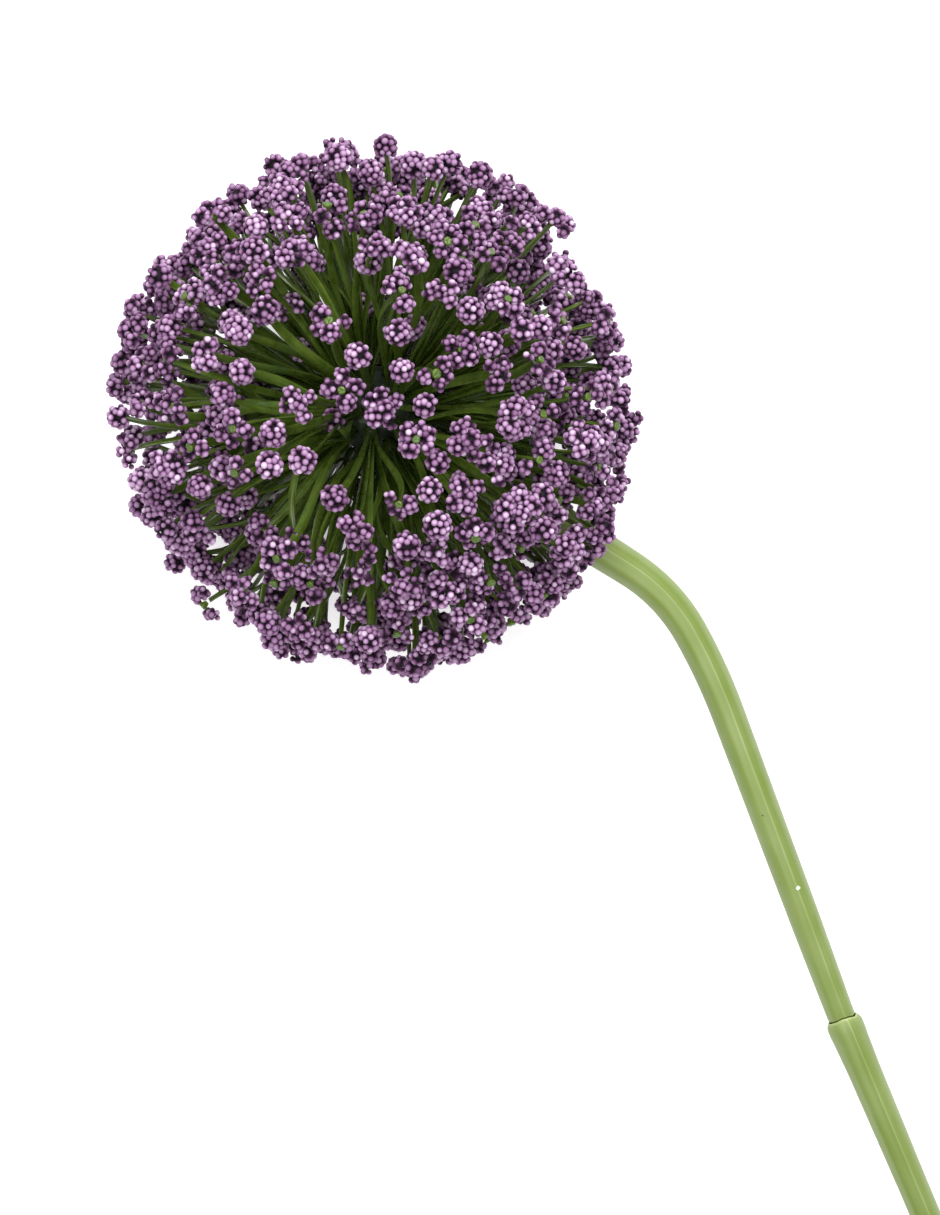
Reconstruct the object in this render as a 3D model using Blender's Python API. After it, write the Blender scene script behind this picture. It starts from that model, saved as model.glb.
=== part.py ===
"""Artificial allium lying on its side: a ball of floret sprays on a bent stem of two lengths.

Metres, +Z up. The ball and the cut end of the stem rest on the surface at z = 0, and the straight
part of the stem runs along +X. Run in Blender 4.5, from its text editor or in the background.
"""
import math

import bmesh
import bpy
import numpy as np
from mathutils import Matrix, Vector

# The ball of florets
HUB_HEIGHT = 0.0480             # hub centre above the surface; the lowest florets are pressed flat
CLUSTERS = 380                  # floret clusters over the whole ball, one on each pedicel
SPRAYS = 48                     # mouldings that carry them, each pushed into the hub by its foot
CLUSTER_REACH = 0.0475          # hub centre to the middle of a cluster
REACH_SPREAD = 0.0030           # a cluster stands up to this much nearer or farther
FULL_RADIUS = (0.0030, 0.0039)  # smallest and largest open cluster
BUD_RADIUS = (0.0021, 0.0026)   # smallest and largest single ball of florets
BUD_SHARE = 0.38                # share of the clusters that are single balls
CLUSTER_GAP = 0.0003            # least gap between two clusters
STEM_GAP = 0.0003               # least gap between a cluster and the stem
SPREAD_ROUNDS = 600             # rounds of pushing neighbours apart
SPREAD_MARGIN = 1.06            # neighbours are pushed until they are this share of the gap apart
SPREAD_PUSH = 0.45              # share of the missing distance that each one moves in a round
OWN_DISTANCE = 9                # stands for a point's distance from itself, so that it isn't pushed
FOOT_ANGLE = 0.47               # least angle between two feet, in radians
STEM_FOOT_ANGLE = math.radians(31)  # least angle between a foot and the stem
FLAT_SHARE = 0.75               # a pressed cluster's middle is this share of its radius up
PEDICEL_ROOT = (0.00042, 0.00032)   # half width and half thickness where it leaves the foot
PEDICEL_TIP = (0.0010, 0.00040)     # the same just under the cluster
PEDICEL_TURN = 2.4              # each flat pedicel is turned this much from the one before, in radians
# a cluster's shape, in shares of its radius: (distance past its middle, radius there)
CLUSTER_NECK = -0.75            # where the pedicel ends and the cluster begins
CLUSTER_PROFILE = ((-0.10, 1.0), (0.65, 0.65))

# The hub and the feet in it
HUB_RADIUS = 0.0085
HOLE_RADIUS = 0.0011
HOLE_DEPTH = 0.0022
CUTTER_OVERRUN = 0.002          # how far a hole's cutter stands out of the hub
PEG_RADIUS = 0.0008
PEG_DEPTH = 0.0017
FOOT_BASE = 0.0014              # radius of the foot where it sits on the hub
FOOT_TOP = 0.0017
FOOT_HEIGHT = 0.0030
ROOT_HEIGHT = 0.6               # the pedicels start at this share of the foot's height
ROOT_RING = 0.0011              # the outer pedicels leave the foot on a ring of this radius
ROOT_SHARE = 0.12               # the inner ones, at this share of their cluster's distance aside
CLEARANCE = 0.00035

# The stem: plastic sleeves over a steel wire, measured along it from the hub centre
STEM_LENGTH = 0.245
JOINT = 0.160                   # lip of the lower length, which the upper one is pushed into
MOUTH_DEPTH = 0.003             # how far the stem goes into the lower length's mouth at full size
SPIGOT_LENGTH = 0.012
WIRE_RADIUS = 0.0012
BORE_RADIUS = 0.00155
SPIGOT_RADIUS = 0.0023
SOCKET_RADIUS = 0.00265
MOUTH_RADIUS = 0.00326
SOCKET_ROOM = 0.002             # room left in the socket past the spigot's end
WIRE_ROOM = 0.0024              # between the two wires, whose ends don't meet
WIRE_INTO_HUB = 0.003           # how far past the hub centre the wire reaches
NECK_HEADING = math.radians(38.0)
# where a bend starts, its length, and how far it turns the stem in plan
STEM_BENDS = ((0.058, 0.018, math.radians(-28.5)),
              (0.076, 0.018, math.radians(-8.5)),
              (JOINT - 0.0002, 0.0004, math.radians(2.4)))
# outer radius of each sleeve, from its upper end to its lower end
UPPER_PROFILE = ((HUB_RADIUS + 0.0002, 0.0026), (0.020, 0.00362), (0.048, 0.00365), (0.062, 0.00345),
                 (0.095, 0.00325), (JOINT + MOUTH_DEPTH, 0.00295))
LOWER_PROFILE = ((JOINT, 0.00340), (JOINT + 0.0010, 0.00365), (JOINT + 0.0050, 0.00355),
                 (JOINT + 0.0130, 0.00330), (JOINT + 0.0400, 0.00300), (STEM_LENGTH, 0.00290))
TIP_RADIUS = LOWER_PROFILE[-1][1]
# the whole stem slopes evenly down to its cut end
STEM_SLOPE = math.asin(HUB_HEIGHT / math.hypot(STEM_LENGTH, TIP_RADIUS)) - math.atan2(TIP_RADIUS, STEM_LENGTH)

# thin places in the ball: a direction from the hub, and how far around it no cluster stands
THIN_PLACES = (((-0.46, -0.09, 0.88), math.radians(10.0)),
               ((-0.19, -0.17, 0.97), math.radians(9.5)),
               ((-0.11, -0.39, 0.92), math.radians(7.5)),
               ((0.24, -0.61, 0.75), math.radians(10.5)),
               ((0.32, -0.45, 0.83), math.radians(12.5)),
               ((0.15, -0.11, 0.98), math.radians(8.5)),
               ((-0.12, 0.29, 0.95), math.radians(7.5)),
               ((0.15, 0.32, 0.93), math.radians(8.0)),
               ((-0.48, 0.14, 0.87), math.radians(7.0)))

RING_SIDES = 12                 # sides of a sleeve
WIRE_SIDES = 6
HOLE_SIDES = 6                  # sides of a hole in the hub, and of the foot in it
CLUSTER_SIDES = 5


def material(name, colour, roughness, metallic=0.0):
    finish = bpy.data.materials.new(name)
    finish.use_nodes = True
    shader = finish.node_tree.nodes["Principled BSDF"]
    shader.inputs["Base Color"].default_value = (*colour, 1.0)
    shader.inputs["Roughness"].default_value = roughness
    shader.inputs["Metallic"].default_value = metallic
    return finish


def add_object(name, mesh_data, finish, parent, placed=Matrix()):
    """An object whose mesh is given in its parent's frame, with its own origin at 'placed'."""
    mesh = bpy.data.meshes.new(name)
    mesh_data.transform(placed.inverted())
    bmesh.ops.recalc_face_normals(mesh_data, faces=mesh_data.faces)
    mesh_data.to_mesh(mesh)
    mesh_data.free()
    mesh.materials.append(finish)
    obj = bpy.data.objects.new(name, mesh)
    bpy.context.scene.collection.objects.link(obj)
    obj.parent = parent
    obj.matrix_local = placed
    return obj


def hide_helper(obj):
    obj.hide_render = True
    obj.display_type = "WIRE"


def loft(mesh_data, rings):
    """A closed solid through rings of points, all of one size, with a flat face at each end."""
    rows = [[mesh_data.verts.new(point) for point in ring] for ring in rings]
    count = len(rows[0])
    for lower, upper in zip(rows, rows[1:]):
        for k in range(count):
            mesh_data.faces.new((lower[k], lower[(k + 1) % count], upper[(k + 1) % count], upper[k]))
    mesh_data.faces.new(rows[0])
    mesh_data.faces.new(reversed(rows[-1]))


def ring_points(centre, across, along, width, height, sides):
    """Points on an ellipse around the centre; 'across' and 'along' are its axes."""
    angles = [2 * math.pi * k / sides for k in range(sides)]
    return [centre + across * (width * math.cos(a)) + along * (height * math.sin(a)) for a in angles]


def side_axes(direction, hint=Vector((0, 0, 1))):
    across = hint.cross(direction).normalized()
    return across, direction.cross(across)


# ---- stem route

def stem_direction(distance):
    heading = NECK_HEADING
    for start, length, turn in STEM_BENDS:
        heading += turn * min(max((distance - start) / length, 0.0), 1.0)
    level = math.cos(STEM_SLOPE)
    return Vector((level * math.cos(heading), level * math.sin(heading), -math.sin(STEM_SLOPE)))


def stem_point(distance, step=0.0005):
    """The stem's axis, in the hub's frame, summed from the directions of short steps."""
    count = max(1, round(abs(distance) / step))
    length = distance / count
    point = Vector((0, 0, 0))
    for k in range(count):
        point += stem_direction((k + 0.5) * length) * length
    return point


def stations(start, end, extra=()):
    """Distances along the stem that a swept shape needs: its ends, its steps and the bends."""
    marks = {start, end, *[mark for mark in extra if start < mark < end]}
    for bend_start, length, turn in STEM_BENDS:
        pieces = max(1, round(abs(turn) / math.radians(5)))
        marks.update(bend_start + length * k / pieces for k in range(pieces + 1))
    return sorted(mark for mark in marks if start <= mark <= end)


def profile_radius(profile, distance):
    return float(np.interp(distance, [mark for mark, _ in profile], [radius for _, radius in profile]))


def stem_ring(distance, radius, sides):
    across, along = side_axes(stem_direction(distance))
    return ring_points(stem_point(distance), across, along, radius, radius, sides)


def tube(outer, inner, sides):
    """A tube with open ends: outer and inner are lists of (distance, radius) down the stem."""
    mesh_data = bmesh.new()
    loop = list(outer) + list(reversed(inner))
    rows = [[mesh_data.verts.new(p) for p in stem_ring(mark, radius, sides)] for mark, radius in loop]
    for first, second in zip(rows, rows[1:] + rows[:1]):
        for k in range(sides):
            mesh_data.faces.new((first[k], first[(k + 1) % sides], second[(k + 1) % sides], second[k]))
    return mesh_data


def build_upper_sleeve(parent, finish):
    start, shoulder = UPPER_PROFILE[0][0], UPPER_PROFILE[-1][0]
    spigot_end = JOINT + SPIGOT_LENGTH
    outer = [(mark, profile_radius(UPPER_PROFILE, mark))
             for mark in stations(start, shoulder, [mark for mark, _ in UPPER_PROFILE])]
    outer += [(shoulder, SPIGOT_RADIUS), (spigot_end, SPIGOT_RADIUS)]
    inner = [(mark, BORE_RADIUS) for mark in stations(start, spigot_end)]
    return add_object("upper_stem_sleeve", tube(outer, inner, RING_SIDES), finish, parent)


def build_lower_sleeve(parent, finish):
    seat, floor = JOINT + MOUTH_DEPTH + CLEARANCE, JOINT + SPIGOT_LENGTH + SOCKET_ROOM
    inner = [(JOINT, MOUTH_RADIUS), (seat, MOUTH_RADIUS), (seat, SOCKET_RADIUS), (floor, SOCKET_RADIUS),
             (floor, BORE_RADIUS), (STEM_LENGTH, BORE_RADIUS)]
    return add_object("lower_stem_sleeve", tube(LOWER_PROFILE, inner, RING_SIDES), finish, parent)


def build_wire(name, start, end, parent, finish):
    mesh_data = bmesh.new()
    marks = stations(start, end)
    loft(mesh_data, [stem_ring(mark, WIRE_RADIUS, WIRE_SIDES) for mark in marks])
    return add_object(name, mesh_data, finish, parent)


# ---- where the clusters and the feet stand

def spread(count, gap, clearings, seed):
    """Directions scattered over a sphere, at least 'gap' apart and outside each clearing.

    The gap is in radians, one for all or one for each pair.
    """
    rng = np.random.default_rng(seed)
    points = rng.normal(size=(count, 3))
    points /= np.linalg.norm(points, axis=1, keepdims=True)
    for _ in range(SPREAD_ROUNDS):
        apart = points[:, None] - points[None]
        distance = np.linalg.norm(apart, axis=2) + OWN_DISTANCE * np.eye(count)
        push = np.clip(SPREAD_MARGIN * gap - distance, 0, None) / distance
        points += SPREAD_PUSH * (apart * push[..., None]).sum(axis=1)
        points /= np.linalg.norm(points, axis=1, keepdims=True)
        for centre, angle in clearings:
            axis = np.array(centre) / np.linalg.norm(centre)
            along = points @ axis
            inside = along > math.cos(angle)
            away = points - along[:, None] * axis
            away /= np.linalg.norm(away, axis=1, keepdims=True)
            edge = math.cos(angle) * axis + math.sin(angle) * away
            points = np.where(inside[:, None], edge, points)
    return points


def cluster_layout():
    """The middle and the radius of every cluster, in the hub's frame."""
    rng = np.random.default_rng(11)
    single = rng.random(CLUSTERS) < BUD_SHARE
    radius = np.where(single, rng.uniform(*BUD_RADIUS, CLUSTERS), rng.uniform(*FULL_RADIUS, CLUSTERS))
    gap = (radius[:, None] + radius + CLUSTER_GAP) / CLUSTER_REACH
    stem_side = UPPER_PROFILE[2][1] + STEM_GAP + FULL_RADIUS[1]
    stem_clear = (tuple(stem_direction(0)), math.asin(stem_side / CLUSTER_REACH))
    directions = spread(CLUSTERS, gap, (*THIN_PLACES, stem_clear), seed=6)
    reach = CLUSTER_REACH + REACH_SPREAD * rng.uniform(-1, 1, CLUSTERS)
    lowest = (HUB_HEIGHT - FLAT_SHARE * radius) / np.maximum(-directions[:, 2], 0.01)
    return directions * np.minimum(reach, lowest)[:, None], radius


def foot_directions():
    return spread(SPRAYS, FOOT_ANGLE, ((tuple(stem_direction(0)), STEM_FOOT_ANGLE),), seed=3)


# ---- hub and sprays

def turned(profile, axis, sides):
    """A closed solid of revolution about an axis through the hub centre."""
    mesh_data = bmesh.new()
    across, along = side_axes(axis, Vector((0.31, 0.17, 0.93)))
    loft(mesh_data, [ring_points(axis * mark, across, along, r, r, sides) for mark, r in profile])
    return mesh_data


def build_hub(feet, parent, finish):
    ball = bmesh.new()
    bmesh.ops.create_icosphere(ball, subdivisions=2, radius=HUB_RADIUS)
    hub = add_object("hub", ball, finish, parent)
    cutters = bpy.data.collections.new("hub_cutters")
    bpy.context.scene.collection.children.link(cutters)
    profiles = [(axis, HUB_RADIUS - HOLE_DEPTH, HOLE_RADIUS) for axis in feet]
    profiles.append((stem_direction(0), -WIRE_INTO_HUB - CLEARANCE, BORE_RADIUS))
    for k, (axis, bottom, radius) in enumerate(profiles):
        shape = turned(((bottom, radius), (HUB_RADIUS + CUTTER_OVERRUN, radius)), axis, HOLE_SIDES)
        cutter = add_object(f"hub_cutter_{k:02d}", shape, finish, parent)
        hide_helper(cutter)
        bpy.context.scene.collection.objects.unlink(cutter)
        cutters.objects.link(cutter)
    holes = hub.modifiers.new("holes", "BOOLEAN")
    holes.operation = "DIFFERENCE"
    holes.operand_type = "COLLECTION"
    holes.collection = cutters
    return hub


def pedicel_rings(start, middle, radius, twist):
    """Rings from the foot, up the flat pedicel, and over its cluster; pressed flat at the surface."""
    direction = (middle - start).normalized()
    across, along = side_axes(direction, Vector((math.cos(twist), math.sin(twist), 0.2)))
    length = (middle - start).length
    sizes = [(0.0, *PEDICEL_ROOT), (length + CLUSTER_NECK * radius, *PEDICEL_TIP)]
    sizes += [(length + past * radius, wide * radius, wide * radius) for past, wide in CLUSTER_PROFILE]
    rings = [ring_points(start + direction * mark, across, along, width, height, CLUSTER_SIDES)
             for mark, width, height in sizes]
    return [[Vector((p.x, p.y, max(p.z, -HUB_HEIGHT))) for p in ring] for ring in rings]


def build_spray(name, foot, clusters, parent, finish):
    """One moulding: a foot in the hub, its pedicels, and the cluster at the end of each."""
    placed = Matrix.Translation(foot * HUB_RADIUS) @ foot.to_track_quat("Z", "Y").to_matrix().to_4x4()
    mesh_data = bmesh.new()
    centre = foot * (HUB_RADIUS + CLEARANCE + ROOT_HEIGHT * FOOT_HEIGHT)
    for k, (middle, radius) in enumerate(clusters):
        sideways = middle - foot * middle.dot(foot)
        start = centre + sideways.normalized() * min(ROOT_RING, ROOT_SHARE * sideways.length)
        loft(mesh_data, pedicel_rings(start, middle, radius, PEDICEL_TURN * k))
    spray = add_object(name, mesh_data, finish, parent, placed)
    base = HUB_RADIUS + CLEARANCE
    profile = ((HUB_RADIUS - PEG_DEPTH, PEG_RADIUS), (base, PEG_RADIUS), (base, FOOT_BASE),
               (base + FOOT_HEIGHT, FOOT_TOP))
    helper = add_object(f"{name}_foot", turned(profile, foot, HOLE_SIDES), finish, parent, placed)
    hide_helper(helper)
    union = spray.modifiers.new("foot", "BOOLEAN")
    union.operation = "UNION"
    union.use_self = True
    union.object = helper
    return spray


def build_sprays(feet, parent, finish):
    middles, radii = cluster_layout()
    nearest = np.argmax(middles @ np.array(feet).T, axis=1)
    for n, foot in enumerate(feet):
        own = [(Vector(middles[k]), float(radii[k])) for k in np.flatnonzero(nearest == n)]
        build_spray(f"floret_spray_{n + 1:02d}", foot, own, parent, finish)


def centre_on_origin(root):
    """Moves the flower so that the middle of its footprint is over the origin."""
    bpy.context.view_layer.update()
    solids = [obj for obj in bpy.data.objects if obj.type == "MESH" and not obj.hide_render]
    points = [obj.matrix_world @ vertex.co for obj in solids for vertex in obj.data.vertices]
    for axis in (0, 1):
        values = [point[axis] for point in points]
        root.location[axis] -= (min(values) + max(values)) / 2
    bpy.context.view_layer.update()


def build():
    for obj in list(bpy.data.objects):
        bpy.data.objects.remove(obj)
    root = bpy.data.objects.new("allium", None)
    root.location.z = HUB_HEIGHT
    bpy.context.scene.collection.objects.link(root)

    sleeve = material("light_green_polyethylene", (0.31, 0.40, 0.13), 0.42)
    wire = material("steel_wire", (0.45, 0.44, 0.42), 0.35, 1.0)
    core = material("dark_green_polyethylene", (0.035, 0.045, 0.015), 0.55)
    floret = material("purple_foam_on_green_pedicels", (0.20, 0.10, 0.19), 0.85)

    build_upper_sleeve(root, sleeve)
    build_lower_sleeve(root, sleeve)
    build_wire("upper_stem_wire", -WIRE_INTO_HUB, JOINT + SPIGOT_LENGTH, root, wire)
    build_wire("lower_stem_wire", JOINT + SPIGOT_LENGTH + WIRE_ROOM, STEM_LENGTH, root, wire)
    feet = [Vector(direction) for direction in foot_directions()]
    build_hub(feet, root, core)
    build_sprays(feet, root, floret)
    centre_on_origin(root)


build()
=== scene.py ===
"""Looks for the artificial allium: moulded stem, hub, floret sprays and their foam beads."""
import math

import bmesh
import bpy
import numpy as np
from mathutils import Matrix, Vector


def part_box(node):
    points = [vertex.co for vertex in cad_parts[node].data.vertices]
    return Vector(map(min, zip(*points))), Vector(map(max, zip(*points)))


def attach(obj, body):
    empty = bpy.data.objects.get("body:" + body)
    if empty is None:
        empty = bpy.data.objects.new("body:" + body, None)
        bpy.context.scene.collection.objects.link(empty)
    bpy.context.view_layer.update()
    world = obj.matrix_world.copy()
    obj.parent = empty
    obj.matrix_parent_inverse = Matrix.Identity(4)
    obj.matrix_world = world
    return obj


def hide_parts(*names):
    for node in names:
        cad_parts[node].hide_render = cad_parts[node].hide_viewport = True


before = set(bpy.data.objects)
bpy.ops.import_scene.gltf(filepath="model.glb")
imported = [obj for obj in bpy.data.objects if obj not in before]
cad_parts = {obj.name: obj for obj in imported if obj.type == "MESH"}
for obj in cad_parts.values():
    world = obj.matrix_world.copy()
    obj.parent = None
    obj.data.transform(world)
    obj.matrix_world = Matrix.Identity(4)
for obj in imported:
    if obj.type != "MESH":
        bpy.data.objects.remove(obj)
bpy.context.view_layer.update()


# ---- Upper stem length
# A soft polyethylene sleeve moulded over a steel wire, bent by hand just under the ball. It is light
# green and satin, with faint lengthwise streaks and a parting line where the mould halves met.

hub_low, hub_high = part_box("hub")
HUB_CENTRE = (Vector(hub_low) + Vector(hub_high)) / 2
STEM_LENGTH = 0.245             # from the hub centre to the cut end
JOINT = 0.160                   # lip of the lower length
NECK_HEADING = math.radians(38.0)
TIP_RADIUS = 0.0029
# the whole stem slopes evenly down, until the edge of its cut end touches the surface
STEM_SLOPE = (math.asin(HUB_CENTRE.z / math.hypot(STEM_LENGTH, TIP_RADIUS))
              - math.atan2(TIP_RADIUS, STEM_LENGTH))
# where a bend starts, its length, and how far it turns the stem in plan
STEM_BENDS = ((0.058, 0.018, math.radians(-28.5)),
              (0.076, 0.018, math.radians(-8.5)),
              (JOINT - 0.0002, 0.0004, math.radians(2.4)))
# distance from the hub centre, and radius
UPPER_PROFILE = ((0.0087, 0.0026), (0.020, 0.00362), (0.048, 0.00365), (0.062, 0.00345),
                 (0.095, 0.00325), (0.140, 0.00302), (JOINT - 0.0010, 0.00277))
LIP_START = JOINT + 0.0012      # where the sides of the lower length's lip begin
GROOVE = 0.0003                 # between the lip and the shoulder that is pushed up to it
SPIGOT_RADIUS = 0.0022
# distance, radius, how far the ring follows the lip's uneven edge, and how much painted light makes it paler
SHOULDER = ((LIP_START - GROOVE - 0.0003, 0.00274, 1.0, 0.0), (LIP_START - GROOVE, 0.00268, 1.0, 0.3),
            (LIP_START - GROOVE + 0.00005, SPIGOT_RADIUS, 1.0, 0.0),
            (LIP_START + 0.0030, SPIGOT_RADIUS, 0.0, 0.0))
# the lip's edge bulges towards the ball on top: angle from the +Y side, and how far
LIP_ANGLES = (0, 42, 63, 98, 130, 180, 270, 360)
LIP_REACH = (-0.0002, 0.0, 0.0005, 0.0008, 0.0005, 0.0, -0.0003, -0.0002)
STEM_SIDES = 72
STEM_STEP = 0.0015              # length of one step along the swept stem
AXIS_STEP = 0.0005              # and along its axis, where the bends are summed
FACETS = 6                      # soft lengthwise flats
FACET_DEPTH = 0.016             # share of the radius
FACET_ANGLE = math.radians(60)
PARTING_ANGLE = math.radians(80)
PARTING_HEIGHT = 0.00005
PARTING_WIDTH = 0.05            # in radians round the stem
NICK = (0.0007, 0.0030, 0.1315)     # places in the unbent stem, on its top
SPECK = (-0.0008, 0.0030, 0.1150)


def hex_colour(text):
    """sRGB hex to the linear colour that the sockets take."""
    parts = [int(text[k:k + 2], 16) / 255 for k in (0, 2, 4)]
    linear = [c / 12.92 if c <= 0.04045 else ((c + 0.055) / 1.055) ** 2.4 for c in parts]
    return (*linear, 1.0)


def add_node(tree, kind, inputs=None, **settings):
    """One shader node; an input takes a value, or the socket that it is linked to."""
    node = tree.nodes.new("ShaderNode" + kind)
    for name, value in settings.items():
        setattr(node, name, value)
    for name, value in (inputs or {}).items():
        if isinstance(value, bpy.types.NodeSocket):
            tree.links.new(value, node.inputs[name])
        else:
            node.inputs[name].default_value = value
    return node


def colour_steps(tree, factor, steps):
    """The colour of a ramp through (position, hex colour) steps."""
    ramp = add_node(tree, "ValToRGB", {"Fac": factor})
    points = ramp.color_ramp.elements
    while len(points) < len(steps):
        points.new(0.5)
    for point, (position, colour) in zip(points, steps):
        point.position = position
        point.color = hex_colour(colour)
    return ramp.outputs["Color"]


def new_finish(name, **values):
    """A material; the values given are the same all over its surface."""
    finish = bpy.data.materials.new(name)
    finish.use_nodes = True
    shader = finish.node_tree.nodes["Principled BSDF"]
    for socket, value in values.items():
        shader.inputs[socket.replace("_", " ")].default_value = value
    return finish, finish.node_tree, shader


def stem_polyethylene():
    """Moulded polyethylene: satin, with pigment drawn into streaks along the flow of the melt."""
    finish, tree, shader = new_finish("satin_stem_polyethylene", IOR=1.51, Specular_IOR_Level=0.5)
    grain = add_node(tree, "Attribute", attribute_name="grain").outputs["Vector"]
    # streaks about 1.2 mm wide and 60 mm long
    flow = add_node(tree, "Mapping", {"Vector": grain, "Scale": (820, 820, 16)}).outputs["Vector"]
    streak = add_node(tree, "TexNoise", {"Vector": flow, "Scale": 1.0, "Detail": 3.0}).outputs["Fac"]
    streaks = colour_steps(tree, streak, ((0.30, "778B41"), (0.50, "80944A"), (0.70, "8B9D59")))
    # clouds about 10 mm long, where the pigment is thinner
    drift = add_node(tree, "Mapping", {"Vector": grain, "Scale": (230, 230, 95)}).outputs["Vector"]
    cloud = add_node(tree, "TexNoise", {"Vector": drift, "Scale": 1.0, "Detail": 2.0}).outputs["Fac"]
    clouds = colour_steps(tree, cloud, ((0.35, "778D3A"), (0.65, "8D9F60")))
    mixed = add_node(tree, "Mix", {0: 0.38, 6: streaks, 7: clouds}, data_type="RGBA").outputs[2]
    # painted highlight along the parting line, paler in places
    across = (-math.sin(PARTING_ANGLE), math.cos(PARTING_ANGLE), 0)
    off = add_node(tree, "VectorMath", {0: grain, 1: across}, operation="DOT_PRODUCT").outputs["Value"]
    near = add_node(tree, "Math", {0: off}, operation="ABSOLUTE").outputs[0]
    line = add_node(tree, "MapRange", {"Value": near, "From Min": 0.00008, "From Max": 0.00022,
                                       "To Min": 1.0, "To Max": 0.0}).outputs[0]
    line_highlight = add_node(tree, "Math", {0: line, 1: cloud}, operation="MULTIPLY").outputs[0]
    line_highlighted = add_node(tree, "Mix", {0: line_highlight, 6: mixed, 7: hex_colour("A6B57A")}, data_type="RGBA").outputs[2]
    # painted light: the thin edges, where light catches and passes through, are painted paler
    edge_light = add_node(tree, "Attribute", attribute_name="edge_light").outputs["Fac"]
    edge_lit_colour = add_node(tree, "Mix", {0: edge_light, 6: line_highlighted, 7: hex_colour("B6C57E")}, data_type="RGBA").outputs[2]
    # a speck of soot in the melt, and a nick that is pale where the skin was scraped off
    ragged = add_node(tree, "TexNoise", {"Vector": grain, "Scale": 2500.0}).outputs["Color"]
    shift = add_node(tree, "VectorMath", {0: ragged, 1: (0.0006, 0.0006, 0.0006), 2: grain},
                     operation="MULTIPLY_ADD").outputs["Vector"]
    colour = edge_lit_colour
    for centre, size, hue in ((SPECK, 0.00022, "5A4A2C"), (NICK, 0.00048, "F2F3EA")):
        middle = tuple(value + 0.0003 for value in centre)
        away = add_node(tree, "VectorMath", {0: shift, 1: middle}, operation="DISTANCE").outputs["Value"]
        spot = add_node(tree, "MapRange", {"Value": away, "From Min": 0.7 * size, "From Max": size,
                                           "To Min": 1.0, "To Max": 0.0}).outputs[0]
        colour = add_node(tree, "Mix", {0: spot, 6: colour, 7: hex_colour(hue)}, data_type="RGBA").outputs[2]
    tree.links.new(colour, shader.inputs["Base Color"])
    gloss = add_node(tree, "MapRange", {"Value": streak, "To Min": 0.30, "To Max": 0.46}).outputs[0]
    tree.links.new(gloss, shader.inputs["Roughness"])
    # draw lines left by the mould, finer than they are here: 0.4 mm apart, so that they show
    lines = add_node(tree, "Mapping", {"Vector": grain, "Scale": (2400, 2400, 40)}).outputs["Vector"]
    drawn = add_node(tree, "TexNoise", {"Vector": lines, "Scale": 1.0, "Detail": 2.0}).outputs["Fac"]
    bump = add_node(tree, "Bump", {"Height": drawn, "Strength": 0.5, "Distance": 0.00004})
    tree.links.new(bump.outputs["Normal"], shader.inputs["Normal"])
    return finish


def stem_direction(distance):
    heading = NECK_HEADING
    for start, length, turn in STEM_BENDS:
        heading += turn * min(max((distance - start) / length, 0.0), 1.0)
    level = math.cos(STEM_SLOPE)
    return Vector((level * math.cos(heading), level * math.sin(heading), -math.sin(STEM_SLOPE)))


def stem_axis():
    """Points on the stem's axis, at even distances from the hub centre, to just past its end."""
    points = [HUB_CENTRE.copy()]
    for k in range(round(STEM_LENGTH / AXIS_STEP) + 4):
        points.append(points[-1] + stem_direction((k + 0.5) * AXIS_STEP) * AXIS_STEP)
    return AXIS_STEP * np.arange(len(points)), np.array(points)


AXIS_MARKS, AXIS_POINTS = stem_axis()


def stem_point(distance):
    return Vector([float(np.interp(distance, AXIS_MARKS, AXIS_POINTS[:, k])) for k in range(3)])


def stem_rows(profile):
    """Rings at even steps down a profile of distances and radii."""
    marks, radii = zip(*profile)
    count = round((marks[-1] - marks[0]) / STEM_STEP)
    steps = sorted({*np.linspace(marks[0], marks[-1], count + 1).tolist(), *marks})
    return [(mark, float(np.interp(mark, marks, radii)), 0.0, 0.0) for mark in steps]


def facet_factor(angle):
    return 1 + FACET_DEPTH * math.cos(FACETS * (angle - FACET_ANGLE))


def parting_ridge(angle):
    """Height of the parting line, along the top and the underside."""
    off = math.remainder(angle - PARTING_ANGLE, math.pi)
    return PARTING_HEIGHT * math.exp(-(off / PARTING_WIDTH) ** 2)


def swept_stem(name, rows, finish):
    """A closed skin along the stem, with its place in the unbent stem kept as 'grain'."""
    points, grain, edge_lights, faces = [], [], [], []
    angles = [2 * math.pi * k / STEM_SIDES for k in range(STEM_SIDES)]
    for distance, radius, share, edge_light in rows:
        direction, centre = stem_direction(distance), stem_point(distance)
        across = Vector((0, 0, 1)).cross(direction).normalized()
        along = direction.cross(across)
        for angle in angles:
            lip = share * float(np.interp(math.degrees(angle), LIP_ANGLES, LIP_REACH))
            size = radius * facet_factor(angle) + parting_ridge(angle)
            side = across * math.cos(angle) + along * math.sin(angle)
            points.append(centre - direction * lip + side * size)
            grain.append((radius * math.cos(angle), radius * math.sin(angle), distance))
            edge_lights.append(edge_light)
    for row in range(len(rows) - 1):
        for k in range(STEM_SIDES):
            a, b = row * STEM_SIDES + k, row * STEM_SIDES + (k + 1) % STEM_SIDES
            faces.append((a, b, b + STEM_SIDES, a + STEM_SIDES))
    last = (len(rows) - 1) * STEM_SIDES
    faces.append(tuple(reversed(range(STEM_SIDES))))
    faces.append(tuple(range(last, last + STEM_SIDES)))
    mesh = bpy.data.meshes.new(name)
    mesh.from_pydata(points, [], faces)
    mesh.attributes.new("grain", "FLOAT_VECTOR", "POINT").data.foreach_set("vector", np.ravel(grain))
    mesh.attributes.new("edge_light", "FLOAT", "POINT").data.foreach_set("value", edge_lights)
    return add_piece(name, mesh, finish, sharp=35)


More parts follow.
